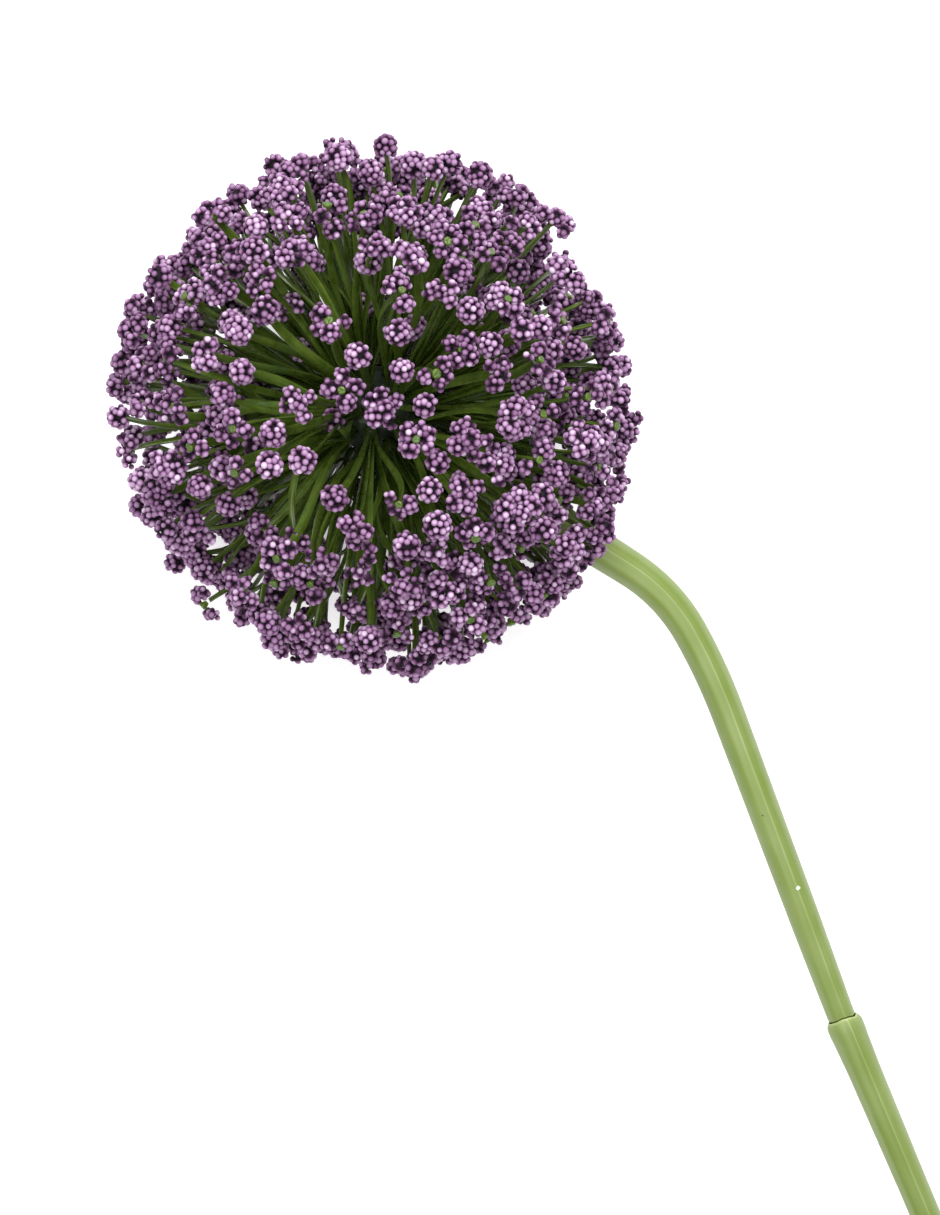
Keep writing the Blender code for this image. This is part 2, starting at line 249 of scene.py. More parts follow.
def add_piece(name, mesh, finish, sharp=180):
    """A smooth-shaded piece that rides on the flower, with edges over 'sharp' degrees kept crisp."""
    mesh.shade_smooth()
    if sharp < 180:
        mesh.set_sharp_from_angle(angle=math.radians(sharp))
    mesh.materials.append(finish)
    piece = bpy.data.objects.new(name, mesh)
    bpy.context.scene.collection.objects.link(piece)
    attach(piece, "root")
    return piece


stem_finish = stem_polyethylene()
upper_stem = swept_stem("upper_stem", [*stem_rows(UPPER_PROFILE), *SHOULDER], stem_finish)
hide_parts("upper_stem_sleeve")


# ---- Lower stem length
# The same moulding at its upper end opens into a thin-walled mouth with a bevelled lip, which the upper
# length is pushed into. Its far end is a plain cut across the sleeve and its wire.

WIRE_RADIUS = 0.0012
LIP_MOUTH = 0.00284             # inner radius of the lip's edge
# distance, radius, how far the ring follows the lip's uneven edge, and painted light on the lip's thin edge
LIP_PROFILE = ((LIP_START + 0.0029, WIRE_RADIUS, 0.0, 0.0), (LIP_START + 0.0028, LIP_MOUTH, 0.0, 0.0),
               (LIP_START, LIP_MOUTH, 1.0, 0.6), (LIP_START, 0.00300, 1.0, 0.8),
               (LIP_START + 0.0004, 0.00330, 0.9, 0.1), (LIP_START + 0.0010, 0.00356, 0.6, 0.0),
               (LIP_START + 0.0018, 0.00366, 0.2, 0.0), (LIP_START + 0.0032, 0.00364, 0.0, 0.0))
LOWER_PROFILE = ((JOINT + 0.0062, 0.00353), (JOINT + 0.0130, 0.00330), (JOINT + 0.0400, 0.00300),
                 (STEM_LENGTH - 0.0003, 0.00290), (STEM_LENGTH, 0.00278))

# the cut face is painted paler towards the wire, with the same painted edge light
cut_end = ((STEM_LENGTH, WIRE_RADIUS, 0.0, 0.4), (STEM_LENGTH - 0.004, WIRE_RADIUS, 0.0, 0.0))
lower_stem = swept_stem("lower_stem", [*LIP_PROFILE, *stem_rows(LOWER_PROFILE), *cut_end], stem_finish)
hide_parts("lower_stem_sleeve")


# ---- Steel wires
# Bright drawn mild steel wire runs down both lengths, so that the stem keeps the bend it is given. It
# shows only at the cut, where its end is rounded a little.


def drawn_steel():
    """Drawn mild steel wire: fine bright and dull lines along it."""
    finish, tree, shader = new_finish("drawn_steel_wire", Metallic=1.0)
    place = add_node(tree, "TexCoord").outputs["Object"]
    lines = add_node(tree, "Mapping", {"Vector": place, "Scale": (60, 5000, 5000)}).outputs["Vector"]
    drawn = add_node(tree, "TexNoise", {"Vector": lines, "Scale": 1.0, "Detail": 2.0}).outputs["Fac"]
    colour = colour_steps(tree, drawn, ((0.35, "8E8B86"), (0.65, "B9B6B0")))
    tree.links.new(colour, shader.inputs["Base Color"])
    rough = add_node(tree, "MapRange", {"Value": drawn, "To Min": 0.28, "To Max": 0.48}).outputs[0]
    tree.links.new(rough, shader.inputs["Roughness"])
    return finish


steel_finish = drawn_steel()
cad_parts["upper_stem_wire"].data.materials.clear()
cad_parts["upper_stem_wire"].data.materials.append(steel_finish)

WIRE_START = JOINT + 0.0144
BARE_WIRE = 0.97 * WIRE_RADIUS  # so that it stays inside the sleeve's bore
ROUNDED_END = 0.80 * WIRE_RADIUS
wire_rows = [(WIRE_START, BARE_WIRE), (STEM_LENGTH - 0.0002, BARE_WIRE), (STEM_LENGTH + 0.0001, ROUNDED_END)]
cut_wire = swept_stem("cut_wire", stem_rows(wire_rows), steel_finish)
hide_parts("lower_stem_wire")


# ---- Hub
# A ball of the same polyethylene, moulded with a hole for each spray's foot. It is deep in the shade of
# the pedicels, and its near-black green is painted shade, so that it shows as the dark middle of the ball.


def hub_polyethylene():
    """Moulded polyethylene, dull from the pebbled mould, with painted shade for its near-black green."""
    finish, tree, shader = new_finish("hub_polyethylene_painted_shade", IOR=1.51, Roughness=0.5)
    place = add_node(tree, "TexCoord").outputs["Object"]
    cloud = add_node(tree, "TexNoise", {"Vector": place, "Scale": 350.0, "Detail": 3.0}).outputs["Fac"]
    # near-black greens: painted shade
    colour = colour_steps(tree, cloud, ((0.35, "161F10"), (0.65, "26331A")))
    tree.links.new(colour, shader.inputs["Base Color"])
    # pebbles 0.5 mm across
    pebble = add_node(tree, "TexNoise", {"Vector": place, "Scale": 2000.0, "Detail": 1.0}).outputs["Fac"]
    bump = add_node(tree, "Bump", {"Height": pebble, "Strength": 0.6, "Distance": 0.00005})
    tree.links.new(bump.outputs["Normal"], shader.inputs["Normal"])
    return finish


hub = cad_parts["hub"]
hub.data.materials.clear()
hub.data.materials.append(hub_polyethylene())


# ---- Floret sprays
# Each spray is one polyethylene moulding: a foot that is pushed into the hub, flat pedicels that fan
# out from it, and a green button at the end of each, which the foam beads are stuck round.

HUB_RADIUS = 0.0085
CLEARANCE = 0.00035             # between the hub and a foot
FOOT_HEIGHT = 0.0030
FOOT_SIDES = 12
# height above the hub, and radius: a peg in its hole, then the foot
FOOT_PROFILE = ((-0.0012, 0.0008), (0.0, 0.0008), (0.0, 0.0013), (0.0008, 0.0016), (0.0024, 0.0016),
                (0.0030, 0.0012))
ROOT_HEIGHT = 0.6               # the pedicels start at this share of the foot's height
ROOT_RING = 0.0011              # the outer pedicels leave the foot on a ring of this radius
ROOT_SHARE = 0.12               # the inner ones, at this share of their cluster's distance aside
CLUSTERS = 380                  # floret clusters over the whole ball, one on each pedicel
SPRAYS = 48
CLUSTER_REACH = 0.0475          # hub centre to the middle of a cluster
REACH_SPREAD = 0.0030           # a cluster stands up to this much nearer or farther
FULL_RADIUS = (0.0030, 0.0039)  # smallest and largest open cluster
BUD_RADIUS = (0.0021, 0.0026)   # smallest and largest bud, which is a single ball of beads
BUD_SHARE = 0.38                # share of the clusters that are buds
CLUSTER_GAP = 0.0003
STEM_GAP = 0.0003
SPREAD_ROUNDS = 600             # rounds of pushing neighbours apart
SPREAD_MARGIN = 1.06            # neighbours are pushed until they are this share of the gap apart
SPREAD_PUSH = 0.45              # share of the missing distance that each one moves in a round
OWN_DISTANCE = 9                # stands for a point's distance from itself, so that it isn't pushed
FOOT_ANGLE = 0.47               # least angle between two feet, in radians
STEM_FOOT_ANGLE = math.radians(31)
STEM_LATE_ANGLE = math.radians(14)  # least angle between a late floret and the stem
FLAT_SHARE = 0.75               # a pressed cluster's middle is this share of its radius up
# thin places in the ball: a direction from the hub, and how far around it no cluster stands
THIN_PLACES = (((-0.46, -0.09, 0.88), math.radians(10.0)),
               ((-0.19, -0.17, 0.97), math.radians(9.5)),
               ((-0.11, -0.39, 0.92), math.radians(7.5)),
               ((0.24, -0.61, 0.75), math.radians(10.5)),
               ((0.32, -0.45, 0.83), math.radians(12.5)),
               ((0.15, -0.11, 0.98), math.radians(8.5)),
               ((-0.12, 0.29, 0.95), math.radians(7.5)),
               ((0.15, 0.32, 0.93), math.radians(8.0)),
               ((-0.48, 0.14, 0.87), math.radians(7.0)))
INNER_FLORETS = 16              # late ones on short, bowed pedicels, deep in the ball
INNER_REACH = (0.42, 0.70)
INNER_RADIUS = (0.0019, 0.0024)
INNER_ANGLE = 0.75
SECOND_FLORETS = 175            # a second layer round the sides, under the outer one
SECOND_REACH = (0.70, 0.93)
SECOND_RADIUS = (0.0020, 0.0034)
SECOND_ANGLE = 0.20
OPEN_TOP = ((0.08, 0.0, 1.0), math.radians(45))
UNDER_FLORETS = 130             # and a third one below, which closes the ball from beneath
UNDER_REACH = (0.84, 0.97)
UNDER_ANGLE = 0.185
OPEN_ABOVE = ((0.0, 0.0, 1.0), math.radians(93))
STEM_COVER = ((0.23, -0.10), (0.22, 0.05), (0.27, 0.20))    # three that lie over the stem: up, aside
PEDICEL_STEPS = 9
PEDICEL_WIDTHS = (0.80, 1.20)   # narrowest and widest, as shares of the usual one
PEDICEL_HALVES = (0.00042, 0.00043, 0.00030)    # half its width at the foot, gained outwards, lost at its end
PEDICEL_DEPTHS = (0.00026, 0.00012)     # half its thickness at the foot, and gained by its end
PEDICEL_HANDLES = (0.35, 0.30)  # of its curve, at the foot and at its end, as shares of its length
PEDICEL_STOP = 0.25             # its end is this share of the cluster's radius below the middle
PEDICEL_RING = ((1, 0), (0.55, 1), (-0.55, 1), (-1, 0), (-0.55, -1), (0.55, -1))    # thick in the middle
BOW = 0.08                      # how far a pedicel bows aside, as a share of its length
LATE_BOW = 0.30                 # the same for a late one
LEAN = 0.16                     # how far a cluster leans off the line from the hub
BUTTON_SHARE = 0.36             # share of the open clusters whose button shows
BUD_BUTTON_SHARE = 0.12         # and of the buds
BUTTON_LIFT = 0.24              # how far it then stands out, as a share of the cluster's radius
BUTTON_RADIUS = (0.00074, 0.00096)
BUTTON_SIDES = 20
BUTTON_ARMS = 5
BUTTON_DIMPLE = 0.16            # depth of an arm, as a share of the button's radius
# height and width, as shares of the button's radius
BUTTON_PROFILE = ((-1.3, 0.45), (-0.5, 0.75), (-0.1, 1.0), (0.18, 0.95), (0.32, 0.72), (0.35, 0.45),
                  (0.22, 0.16))


def spread(count, gap, clearings, seed):
    """Directions scattered over a sphere, at least 'gap' apart and outside each clearing."""
    rng = np.random.default_rng(seed)
    points = rng.normal(size=(count, 3))
    points /= np.linalg.norm(points, axis=1, keepdims=True)
    for _ in range(SPREAD_ROUNDS):
        apart = points[:, None] - points[None]
        distance = np.linalg.norm(apart, axis=2) + OWN_DISTANCE * np.eye(count)
        push = np.clip(SPREAD_MARGIN * gap - distance, 0, None) / distance
        points += SPREAD_PUSH * (apart * push[..., None]).sum(axis=1)
        points /= np.linalg.norm(points, axis=1, keepdims=True)
        for centre, angle in clearings:
            axis = np.array(centre) / np.linalg.norm(centre)
            along = points @ axis
            inside = along > math.cos(angle)
            away = points - along[:, None] * axis
            away /= np.linalg.norm(away, axis=1, keepdims=True)
            edge = math.cos(angle) * axis + math.sin(angle) * away
            points = np.where(inside[:, None], edge, points)
    return points


def cluster_layout():
    """The middle, seen from the hub, and the radius of every cluster."""
    rng = np.random.default_rng(11)
    single = rng.random(CLUSTERS) < BUD_SHARE
    radius = np.where(single, rng.uniform(*BUD_RADIUS, CLUSTERS), rng.uniform(*FULL_RADIUS, CLUSTERS))
    gap = (radius[:, None] + radius + CLUSTER_GAP) / CLUSTER_REACH
    stem_side = UPPER_PROFILE[2][1] + STEM_GAP + FULL_RADIUS[1]
    stem_clear = (tuple(stem_direction(0)), math.asin(stem_side / CLUSTER_REACH))
    directions = spread(CLUSTERS, gap, (*THIN_PLACES, stem_clear), seed=6)
    reach = CLUSTER_REACH + REACH_SPREAD * rng.uniform(-1, 1, CLUSTERS)
    lowest = (HUB_CENTRE.z - FLAT_SHARE * radius) / np.maximum(-directions[:, 2], 0.01)
    return directions * np.minimum(reach, lowest)[:, None], radius


def late_layout():
    """Florets that opened late, as places seen from the hub, and their radii."""
    stem_clear = (tuple(stem_direction(0)), STEM_LATE_ANGLE)
    inner = spread(INNER_FLORETS, INNER_ANGLE, (stem_clear,), seed=5)
    second = spread(SECOND_FLORETS, SECOND_ANGLE, (*THIN_PLACES, OPEN_TOP, stem_clear), seed=8)
    under = spread(UNDER_FLORETS, UNDER_ANGLE, (OPEN_ABOVE, stem_clear), seed=9)
    ahead = stem_direction(0)
    aside = Vector((-ahead.y, ahead.x, 0)).normalized()
    cover = [(ahead + Vector((0, 0, up)) + aside * off).normalized()[:] for up, off in STEM_COVER]
    rng = np.random.default_rng(12)
    reach = np.concatenate([rng.uniform(*INNER_REACH, INNER_FLORETS),
                            rng.uniform(*SECOND_REACH, SECOND_FLORETS),
                            rng.uniform(*UNDER_REACH, UNDER_FLORETS), [1.0] * len(cover)])
    radius = np.concatenate([rng.uniform(*INNER_RADIUS, INNER_FLORETS),
                             rng.uniform(*SECOND_RADIUS, SECOND_FLORETS + UNDER_FLORETS),
                             [FULL_RADIUS[0]] * len(cover)])
    places = np.concatenate([inner, second, under, cover]) * (CLUSTER_REACH * reach)[:, None]
    places[:, 2] = np.maximum(places[:, 2], FLAT_SHARE * radius - HUB_CENTRE.z)
    return places, radius


def new_shapes():
    return {"points": [], "faces": [], "tone": [], "grain": [], "count": 0}


def add_shape(shapes, points, faces, tone, grain=None):
    """Adds one closed shape; its faces count from its own first point."""
    start = shapes["count"]
    shapes["points"].extend(points)
    shapes["faces"].extend(tuple(corner + start for corner in face) for face in faces)
    shapes["tone"].extend(tone)
    shapes["grain"].extend(grain or [(0, 0, 0)] * len(points))
    shapes["count"] += len(points)


def ring_faces(rings, sides):
    """Faces of a closed loft through rings, with a flat face at each end."""
    faces = []
    for row in range(rings - 1):
        for k in range(sides):
            a, b = row * sides + k, row * sides + (k + 1) % sides
            faces.append((a, b, b + sides, a + sides))
    faces.append(tuple(reversed(range(sides))))
    faces.append(tuple(range((rings - 1) * sides, rings * sides)))
    return faces


def shapes_piece(name, shapes, finish, sharp=180):
    mesh = bpy.data.meshes.new(name)
    mesh.from_pydata(shapes["points"], [], shapes["faces"])
    mesh.attributes.new("tone", "FLOAT", "POINT").data.foreach_set("value", shapes["tone"])
    grain = mesh.attributes.new("grain", "FLOAT_VECTOR", "POINT")
    grain.data.foreach_set("vector", np.ravel(shapes["grain"]))
    return add_piece(name, mesh, finish, sharp)


def side_axes(direction, hint):
    across = hint.cross(direction).normalized()
    return across, direction.cross(across)


def add_turned(shapes, base, axis, profile, sides, tone):
    """A turned shape: profile is (height above the base, radius)."""
    across, along = side_axes(axis, Vector((0.31, 0.17, 0.93)))
    points = []
    for height, radius in profile:
        for k in range(sides):
            angle = 2 * math.pi * k / sides
            side = across * math.cos(angle) + along * math.sin(angle)
            points.append(base + axis * height + side * radius)
    add_shape(shapes, points, ring_faces(len(profile), sides), [tone] * len(points))


def add_pedicel(shapes, start, leave, end, arrive, rng, bow):
    """A flat strip with thick middle and thin edges, from the foot to the cluster's underside."""
    length = (end - start).length
    width = rng.uniform(*PEDICEL_WIDTHS)
    side, _ = side_axes((end - start).normalized(), Vector(rng.normal(size=3)))
    lean = side * (rng.uniform(-1, 1) * bow * length)
    first = start + leave * (PEDICEL_HANDLES[0] * length) + lean
    second = end - arrive * (PEDICEL_HANDLES[1] * length) + lean
    twist, spin = rng.uniform(0, math.pi), rng.uniform(-0.5, 0.5)
    shade = rng.uniform(-0.08, 0.10)
    points, tone, grain = [], [], []
    for step in range(PEDICEL_STEPS):
        t = step / (PEDICEL_STEPS - 1)
        u = 1 - t
        centre = start * u ** 3 + first * (3 * u * u * t) + second * (3 * u * t * t) + end * t ** 3
        along = (first - start) * (u * u) + (second - first) * (2 * u * t) + (end - second) * (t * t)
        along = along.normalized()
        across, thick = side_axes(along, Vector((math.cos(twist), math.sin(twist), 0.3)))
        turn = spin * (t - 0.5)
        across, thick = (across * math.cos(turn) + thick * math.sin(turn),
                         thick * math.cos(turn) - across * math.sin(turn))
        # it widens up to 0.78 of its length, and narrows again over the last 0.18
        widening = math.sin(math.pi * min(t / 0.78, 1.0) / 2)
        narrowing = max(t - 0.82, 0) / 0.18
        half = width * (PEDICEL_HALVES[0] + PEDICEL_HALVES[1] * widening - PEDICEL_HALVES[2] * narrowing)
        deep = PEDICEL_DEPTHS[0] + PEDICEL_DEPTHS[1] * t
        # painted shade and light: dark at the foot, lightest half way up, darker again under its cluster, and
        # a little lighter along its thin edges
        lit = 0.46 * math.sin(math.pi * min(t / 0.55, 1.0) / 2) - 0.24 * max(t - 0.60, 0) / 0.40
        for flat, raised in PEDICEL_RING:
            points.append(centre + across * (half * flat) + thick * (deep * raised))
            tone.append(0.16 + lit + shade + (0.13 if raised == 0 else 0.0))
            grain.append((half * flat, 0.001 * raised + twist, length * t))
    add_shape(shapes, points, ring_faces(PEDICEL_STEPS, len(PEDICEL_RING)), tone, grain)


def add_button(shapes, centre, axis, radius, turn):
    """A domed button with a five-armed dimple, moulded at the end of a pedicel."""
    across, along = side_axes(axis, Vector((0.2, 0.9, 0.3)))
    points, tone = [], []
    for height, wide in BUTTON_PROFILE:
        for k in range(BUTTON_SIDES):
            angle = turn + 2 * math.pi * k / BUTTON_SIDES
            arm = max(0.0, math.cos(BUTTON_ARMS * angle)) ** 2 * (1.0 if height > 0.1 else 0.0)
            side = across * math.cos(angle) + along * math.sin(angle)
            points.append(centre + axis * (radius * (height - BUTTON_DIMPLE * arm)) + side * (radius * wide))
            # painted highlight: the button is lighter where its dome narrows, and pale along the arms of its
            # star
            tone.append(0.78 - 0.16 * wide + 0.26 * arm)
    add_shape(shapes, points, ring_faces(len(BUTTON_PROFILE), BUTTON_SIDES), tone)


def pedicel_polyethylene():
    """Thin moulded polyethylene strips, with painted shade at the foot and painted light along the edges and
    outwards.
    """
    finish, tree, shader = new_finish("satin_pedicel_polyethylene", IOR=1.51, Specular_IOR_Level=0.45)
    tone = add_node(tree, "Attribute", attribute_name="tone").outputs["Fac"]
    place = add_node(tree, "TexCoord").outputs["Object"]
    # uneven pigment, in patches 3 mm across
    cloud = add_node(tree, "TexNoise", {"Vector": place, "Scale": 330.0, "Detail": 2.0}).outputs["Fac"]
    # flow lines along each strip, 0.5 mm apart
    grain = add_node(tree, "Attribute", attribute_name="grain").outputs["Vector"]
    flow = add_node(tree, "Mapping", {"Vector": grain, "Scale": (2000, 300, 60)}).outputs["Vector"]
    line = add_node(tree, "TexNoise", {"Vector": flow, "Scale": 1.0, "Detail": 2.0}).outputs["Fac"]
    both = add_node(tree, "Math", {0: cloud, 1: line}, operation="ADD").outputs[0]
    drift = add_node(tree, "MapRange", {"Value": both, "From Min": 0.6, "From Max": 1.4,
                                        "To Min": -0.20, "To Max": 0.20}).outputs[0]
    shifted = add_node(tree, "Math", {0: tone, 1: drift}, operation="ADD").outputs[0]
    colour = colour_steps(tree, shifted, ((0.0, "18220A"), (0.30, "35460F"), (0.55, "4B5F1C"),
                                          (0.72, "62782E"), (0.85, "4B6936"), (1.0, "86A378")))
    tree.links.new(colour, shader.inputs["Base Color"])
    gloss = add_node(tree, "MapRange", {"Value": cloud, "To Min": 0.20, "To Max": 0.38}).outputs[0]
    tree.links.new(gloss, shader.inputs["Roughness"])
    bump = add_node(tree, "Bump", {"Height": line, "Strength": 0.6, "Distance": 0.00008})
    tree.links.new(bump.outputs["Normal"], shader.inputs["Normal"])
    return finish


feet = spread(SPRAYS, FOOT_ANGLE, ((tuple(stem_direction(0)), STEM_FOOT_ANGLE),), seed=3)
middles, radii = cluster_layout()
late_middles, late_radii = late_layout()
nearest = np.argmax(middles @ feet.T, axis=1)
late_nearest = np.argmax(late_middles @ feet.T, axis=1)
pedicel_finish = pedicel_polyethylene()
rng = np.random.default_rng(21)
clusters = []                   # (spray, middle, axis, radius, whether it shows its button)

for spray in range(SPRAYS):
    shapes = new_shapes()
    foot = Vector(feet[spray])
    base = HUB_CENTRE + foot * (HUB_RADIUS + CLEARANCE)
    # the foot takes a dark tone: painted shade deep in the ball
    add_turned(shapes, base, foot, FOOT_PROFILE, FOOT_SIDES, 0.12)
    florets = [(middles[k], radii[k], BOW) for k in np.flatnonzero(nearest == spray)]
    florets += [(late_middles[k], late_radii[k], LATE_BOW) for k in np.flatnonzero(late_nearest == spray)]
    for place, radius, bow in florets:
        middle = HUB_CENTRE + Vector(place)
        outward = Vector(place).normalized()
        sideways = Vector(place) - foot * Vector(place).dot(foot)
        off_axis = min(ROOT_RING, ROOT_SHARE * sideways.length)
        start = base + foot * (ROOT_HEIGHT * FOOT_HEIGHT) + sideways.normalized() * off_axis
        leave = (foot + outward).normalized()
        axis = (outward + Vector(rng.normal(size=3)) * LEAN).normalized()
        shows_button = rng.random() < (BUTTON_SHARE if radius > BUD_RADIUS[1] else BUD_BUTTON_SHARE)
        add_pedicel(shapes, start, leave, middle - axis * (PEDICEL_STOP * radius), axis, rng, bow)
        lift = BUTTON_LIFT * radius if shows_button else 0.0
        add_button(shapes, middle + axis * lift, axis, rng.uniform(*BUTTON_RADIUS), rng.uniform(0, 6.28))
        clusters.append((spray, middle, axis, radius, shows_button))
    green = shapes_piece(f"spray_{spray + 1:02d}_pedicels", shapes, pedicel_finish, sharp=50)
    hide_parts(f"floret_spray_{spray + 1:02d}")


# ---- Foam beads
# Polystyrene foam beads a little over a millimetre across, dyed purple and stuck with glue round each
# button, in small balls. Their tops carry painted light, and the gaps between them painted shade.

BEAD_RADIUS = 0.00062
BEAD_PITCH = 0.00116            # between the middles of neighbours
BEAD_SIZES = (0.84, 1.12)       # smallest and largest, as shares of the radius
BEAD_SINK = 0.9                 # a ball's beads are centred this share of a bead's radius inside it
CORE_DEPTH = 1.75               # and the glue core starts this many bead radii inside
STALK_RADIUS = 0.0007           # no bead sits where the pedicel comes in
BUTTON_CLEAR = 0.0013           # nor this near to a button that shows
BEAD_AREA = 0.88                # each covers this share of the pitch squared
FEWEST_BEADS = 6
BEAD_CROWDED = 0.72             # beads nearer than this share of the pitch are left out
BEAD_COVERED = 0.93             # and those within this share of another ball's own beads
BEAD_SHIFT = 0.13               # how unevenly they sit, as a share of the pitch
BEAD_RISE = 0.2                 # and how far in or out, as a share of the bead's radius
SKIPPED_SHARE = 0.22            # share of the clusters with a ball missing
BALLS = (4, 6)                  # fewest and most balls round an open cluster
BALL_SIZES = (0.38, 0.58)       # smallest and largest, as shares of the cluster's radius
BALL_SHIFT = 0.32               # how unevenly they stand round it, and how far up or down
OPEN_WIDTH = 1.12               # how wide a cluster on top has opened, as a share of its radius
SIDE_WIDTH = 0.14               # and how much wider one at the side has
TOP_BALL = (0.35, 0.52)         # height and size of the ball that covers a hidden button
SINGLE_BALL = 1.06              # size of a bud's one ball
CLUSTER_SHADE = (-0.08, 0.06)   # how much darker or lighter one cluster is than another
BEAD_SHADE = 0.08               # and one bead than another
PALE_SHARE = 0.04               # share of the beads that took little dye
PALE_SHADE = 0.18


def unit_sphere(subdivisions):
    """Points and triangles of an icosphere of radius one."""
    source = bpy.data.meshes.new("bead")
    ball = bmesh.new()
    bmesh.ops.create_icosphere(ball, subdivisions=subdivisions, radius=1.0)
    ball.to_mesh(source)
    ball.free()
    points = np.array([vertex.co[:] for vertex in source.vertices])
    faces = [tuple(face.vertices) for face in source.polygons]
    bpy.data.meshes.remove(source)
    return points, faces


def even_directions(count):
    """Directions spaced evenly over a sphere, on a spiral of golden angles."""
    k = np.arange(count) + 0.5
    height = 1 - 2 * k / count
    angle = math.pi * (1 + 5 ** 0.5) * k
    flat = np.sqrt(1 - height ** 2)
    return np.stack([flat * np.cos(angle), flat * np.sin(angle), height], axis=1)


def turned_frame(axis, rng):
    """Three unit axes, the last one along 'axis', turned by chance about it."""
    across, along = side_axes(axis, Vector(rng.normal(size=3)))
    return np.array([across, along, axis])


def cluster_balls(radius, wide, shows_button, rng):
    """The small balls that make one cluster: (place, radius) in the cluster's own frame."""
    if radius <= BUD_RADIUS[1]:
        return [(np.zeros(3), SINGLE_BALL * radius)]
    count = int(rng.integers(BALLS[0], BALLS[1] + 1))
    skipped = rng.random() < SKIPPED_SHARE
    balls = []
    for k in range(count - (1 if skipped else 0)):
        size = radius * rng.uniform(*BALL_SIZES)
        angle = 2 * math.pi * (k + rng.uniform(-BALL_SHIFT, BALL_SHIFT)) / count
        out = wide * radius - size
        height = radius * rng.uniform(-BALL_SHIFT, BALL_SHIFT)
        balls.append((np.array([out * math.cos(angle), out * math.sin(angle), height]), size))
    if not shows_button:
        balls.append((np.array([0.0, 0.0, radius * TOP_BALL[0]]), radius * TOP_BALL[1]))
    return balls


def bead_places(balls, shows_button, lift, rng):
    """Where the beads sit: over each ball, outside the others, clear of each other and the button."""
    kept, outward = [], []
    for n, (place, size) in enumerate(balls):
        reach = size - BEAD_RADIUS * BEAD_SINK
        count = max(FEWEST_BEADS, round(4 * math.pi * reach ** 2 / (BEAD_AREA * BEAD_PITCH ** 2)))
        turn = turned_frame(Vector(rng.normal(size=3)).normalized(), rng)
        shift = rng.normal(size=(count, 3)) * (BEAD_SHIFT * BEAD_PITCH / reach)
        directions = even_directions(count) @ turn + shift
        for direction in directions / np.linalg.norm(directions, axis=1, keepdims=True):
            spot = place + direction * (reach + rng.uniform(-BEAD_RISE, BEAD_RISE) * BEAD_RADIUS)
            hidden = any(np.linalg.norm(spot - other) < BEAD_COVERED * (width - BEAD_RADIUS * BEAD_SINK)
                         for m, (other, width) in enumerate(balls) if m != n)
            on_stalk = spot[2] < 0 and math.hypot(spot[0], spot[1]) < STALK_RADIUS
            on_button = shows_button and np.linalg.norm(spot - (0, 0, lift)) < BUTTON_CLEAR
            crowded = kept and min(np.linalg.norm(np.array(kept) - spot, axis=1)) < BEAD_CROWDED * BEAD_PITCH
            if not (hidden or on_stalk or on_button or crowded):
                kept.append(spot)
                outward.append(direction)
    return np.array(kept), np.array(outward)


def dyed_foam():
    """Dyed polystyrene foam: matt with a faint sheen, with painted light making it light lilac on top and
    painted shade deep purple between.
    """
    finish, tree, shader = new_finish("dyed_foam_beads", IOR=1.38, Roughness=0.72, Sheen_Weight=0.10,
                                      Sheen_Roughness=0.4, Sheen_Tint=hex_colour("E8D4EA"))
    tone = add_node(tree, "Attribute", attribute_name="tone").outputs["Fac"]
    colour = colour_steps(tree, tone, ((0.0, "120414"), (0.30, "3A1838"), (0.55, "7A5078"),
                                       (0.80, "B38CB4"), (1.0, "E4CCE6")))
    tree.links.new(colour, shader.inputs["Base Color"])
    place = add_node(tree, "TexCoord").outputs["Object"]
    # the foam's skin is cells 0.15 mm across, drawn at twice that so that they show
    cell = add_node(tree, "TexVoronoi", {"Vector": place, "Scale": 3300.0}).outputs["Distance"]
    bump = add_node(tree, "Bump", {"Height": cell, "Strength": 0.35, "Distance": 0.00003})
    tree.links.new(bump.outputs["Normal"], shader.inputs["Normal"])
    return finish


foam_finish = dyed_foam()
sphere_points, sphere_faces = unit_sphere(2)
rng = np.random.default_rng(33)

for spray in range(SPRAYS):
    shapes = new_shapes()
    for _, middle, axis, radius, shows_button in [c for c in clusters if c[0] == spray]:
        local = turned_frame(axis, rng)
        wide = OPEN_WIDTH + SIDE_WIDTH * (1 - abs(axis.z))
        balls = cluster_balls(radius, wide, shows_button, rng)
        lift = BUTTON_LIFT * radius
        spots, outward = bead_places(balls, shows_button, lift, rng)
        centre = np.array(middle)
        for place, size in balls:
            # the glue core takes the darkest tone: painted shade in the gaps between the beads
            core = centre + place @ local + sphere_points * (size - CORE_DEPTH * BEAD_RADIUS)
            add_shape(shapes, core.tolist(), sphere_faces, [0.0] * len(core))
        cluster_shade = rng.uniform(*CLUSTER_SHADE)
        for spot, direction in zip(spots, outward):
            size = BEAD_RADIUS * rng.uniform(*BEAD_SIZES)
            bead_centre = centre + spot @ local
            bead_centre[2] = max(bead_centre[2], size)
            facing = sphere_points @ (direction @ local)
            shade = cluster_shade + rng.normal() * BEAD_SHADE
            shade += PALE_SHADE if rng.random() < PALE_SHARE else 0.0
            # painted light and shade: lightest on top, and dark only where the bead meets its neighbours
            tone = np.clip(0.22 + 0.60 * np.clip(facing + 0.1, 0, 1) ** 0.55 + shade, 0.0, 1.0)
            add_shape(shapes, (bead_centre + sphere_points * size).tolist(), sphere_faces, tone.tolist())
    beads = shapes_piece(f"spray_{spray + 1:02d}_beads", shapes, foam_finish)
    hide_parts(f"floret_spray_{spray + 1:02d}")


# ---- Studio
# A white table top that is lit from below, large soft lamps over it, and a camera that looks straight
# down on the flower, so that nothing but the flower shows.

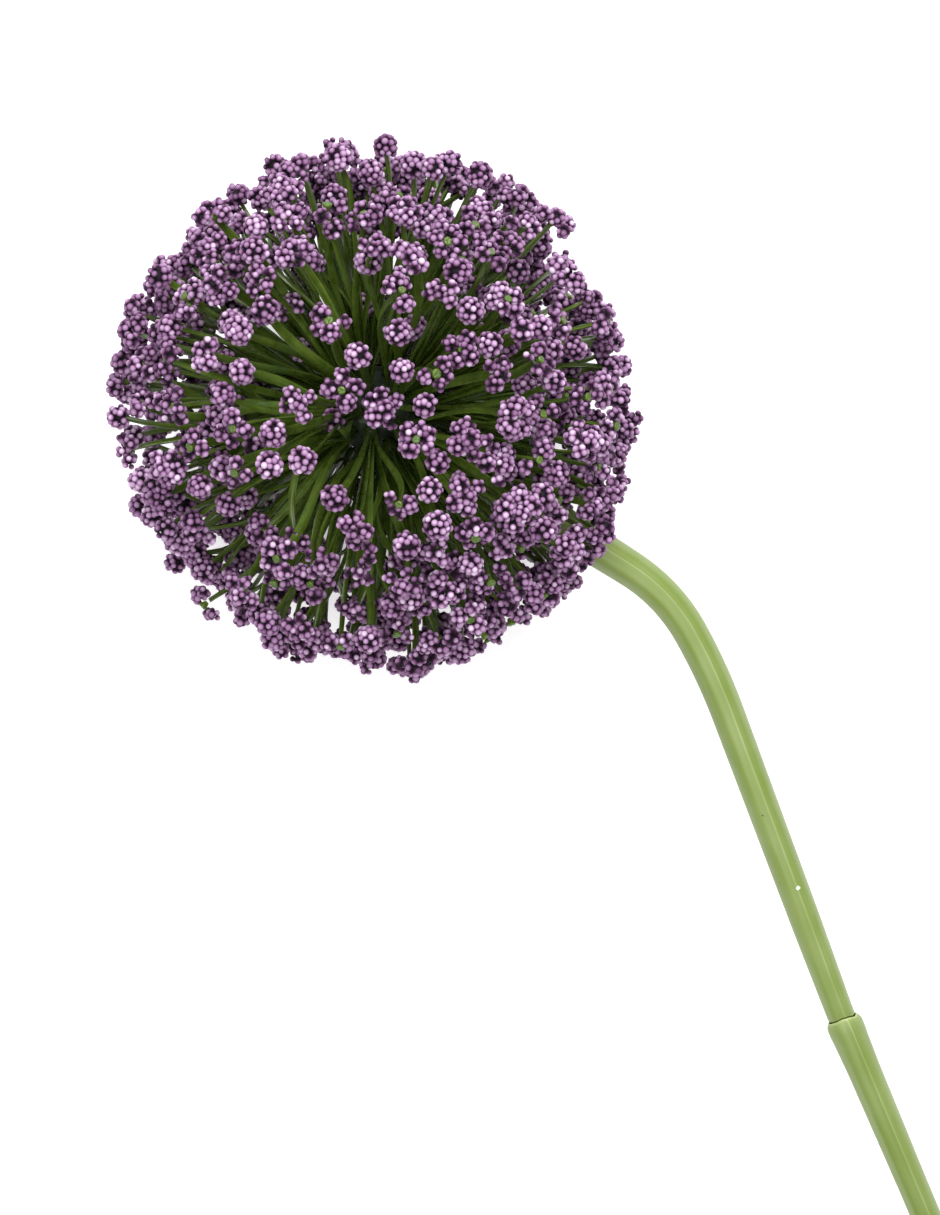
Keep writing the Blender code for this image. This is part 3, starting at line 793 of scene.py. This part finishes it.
CAMERA_HEIGHT = 0.56            # above the hub
VIEW_LENGTH = 0.2316            # what its long side takes in, at the hub's height
VIEW_ASIDE = Vector((0.0414, 0.0034, 0))    # from the hub to the middle of the view
VIEW_UP = Vector((-0.938, 0.346, 0)).normalized()
TABLE_REACH = 3                 # from its middle to an edge
SENSOR_WIDTH = 36
WORLD_LIGHT = 0.18

floor_mesh = bpy.data.meshes.new("table_top")
corners = [(x * TABLE_REACH, y * TABLE_REACH, 0) for x, y in ((-1, -1), (1, -1), (1, 1), (-1, 1))]
floor_mesh.from_pydata(corners, [], [(0, 1, 2, 3)])
floor = bpy.data.objects.new("table_top", floor_mesh)
bpy.context.scene.collection.objects.link(floor)
# the table top is opal acrylic lit from below, so that it stays white under the flower
table_finish, _, _ = new_finish("lit_opal_acrylic", Roughness=0.9, Base_Color=hex_colour("F6F6F6"),
                                Emission_Color=hex_colour("FFFFFF"), Emission_Strength=0.38)
floor_mesh.materials.append(table_finish)

camera = bpy.data.objects.new("camera", bpy.data.cameras.new("camera"))
bpy.context.scene.collection.objects.link(camera)
camera.data.sensor_width = SENSOR_WIDTH
camera.data.lens = SENSOR_WIDTH * CAMERA_HEIGHT / VIEW_LENGTH
right = VIEW_UP.cross(Vector((0, 0, 1)))
place = HUB_CENTRE + VIEW_ASIDE + Vector((0, 0, CAMERA_HEIGHT))
camera.matrix_world = Matrix(((right.x, VIEW_UP.x, 0, place.x), (right.y, VIEW_UP.y, 0, place.y),
                              (0, 0, 1, place.z), (0, 0, 0, 1)))
bpy.context.scene.camera = camera


def soft_lamp(name, direction, size, power):
    """A square lamp a metre from the hub, facing it."""
    lamp = bpy.data.objects.new(name, bpy.data.lights.new(name, "AREA"))
    lamp.data.size = size
    lamp.data.energy = power
    lamp.location = HUB_CENTRE + Vector(direction).normalized()
    lamp.rotation_euler = (-Vector(direction)).to_track_quat("-Z", "Y").to_euler()
    bpy.context.scene.collection.objects.link(lamp)


soft_lamp("key_lamp", (-0.66, 0.51, 0.85), 0.5, 8.5)
soft_lamp("front_lamp", (0.10, -0.12, 1.0), 1.1, 11)
world = bpy.data.worlds.new("studio")
bpy.context.scene.world = world
world.use_nodes = True
world.node_tree.nodes["Background"].inputs["Color"].default_value = hex_colour("FFFFFF")
world.node_tree.nodes["Background"].inputs["Strength"].default_value = WORLD_LIGHT
bpy.context.scene.view_settings.view_transform = "Standard"
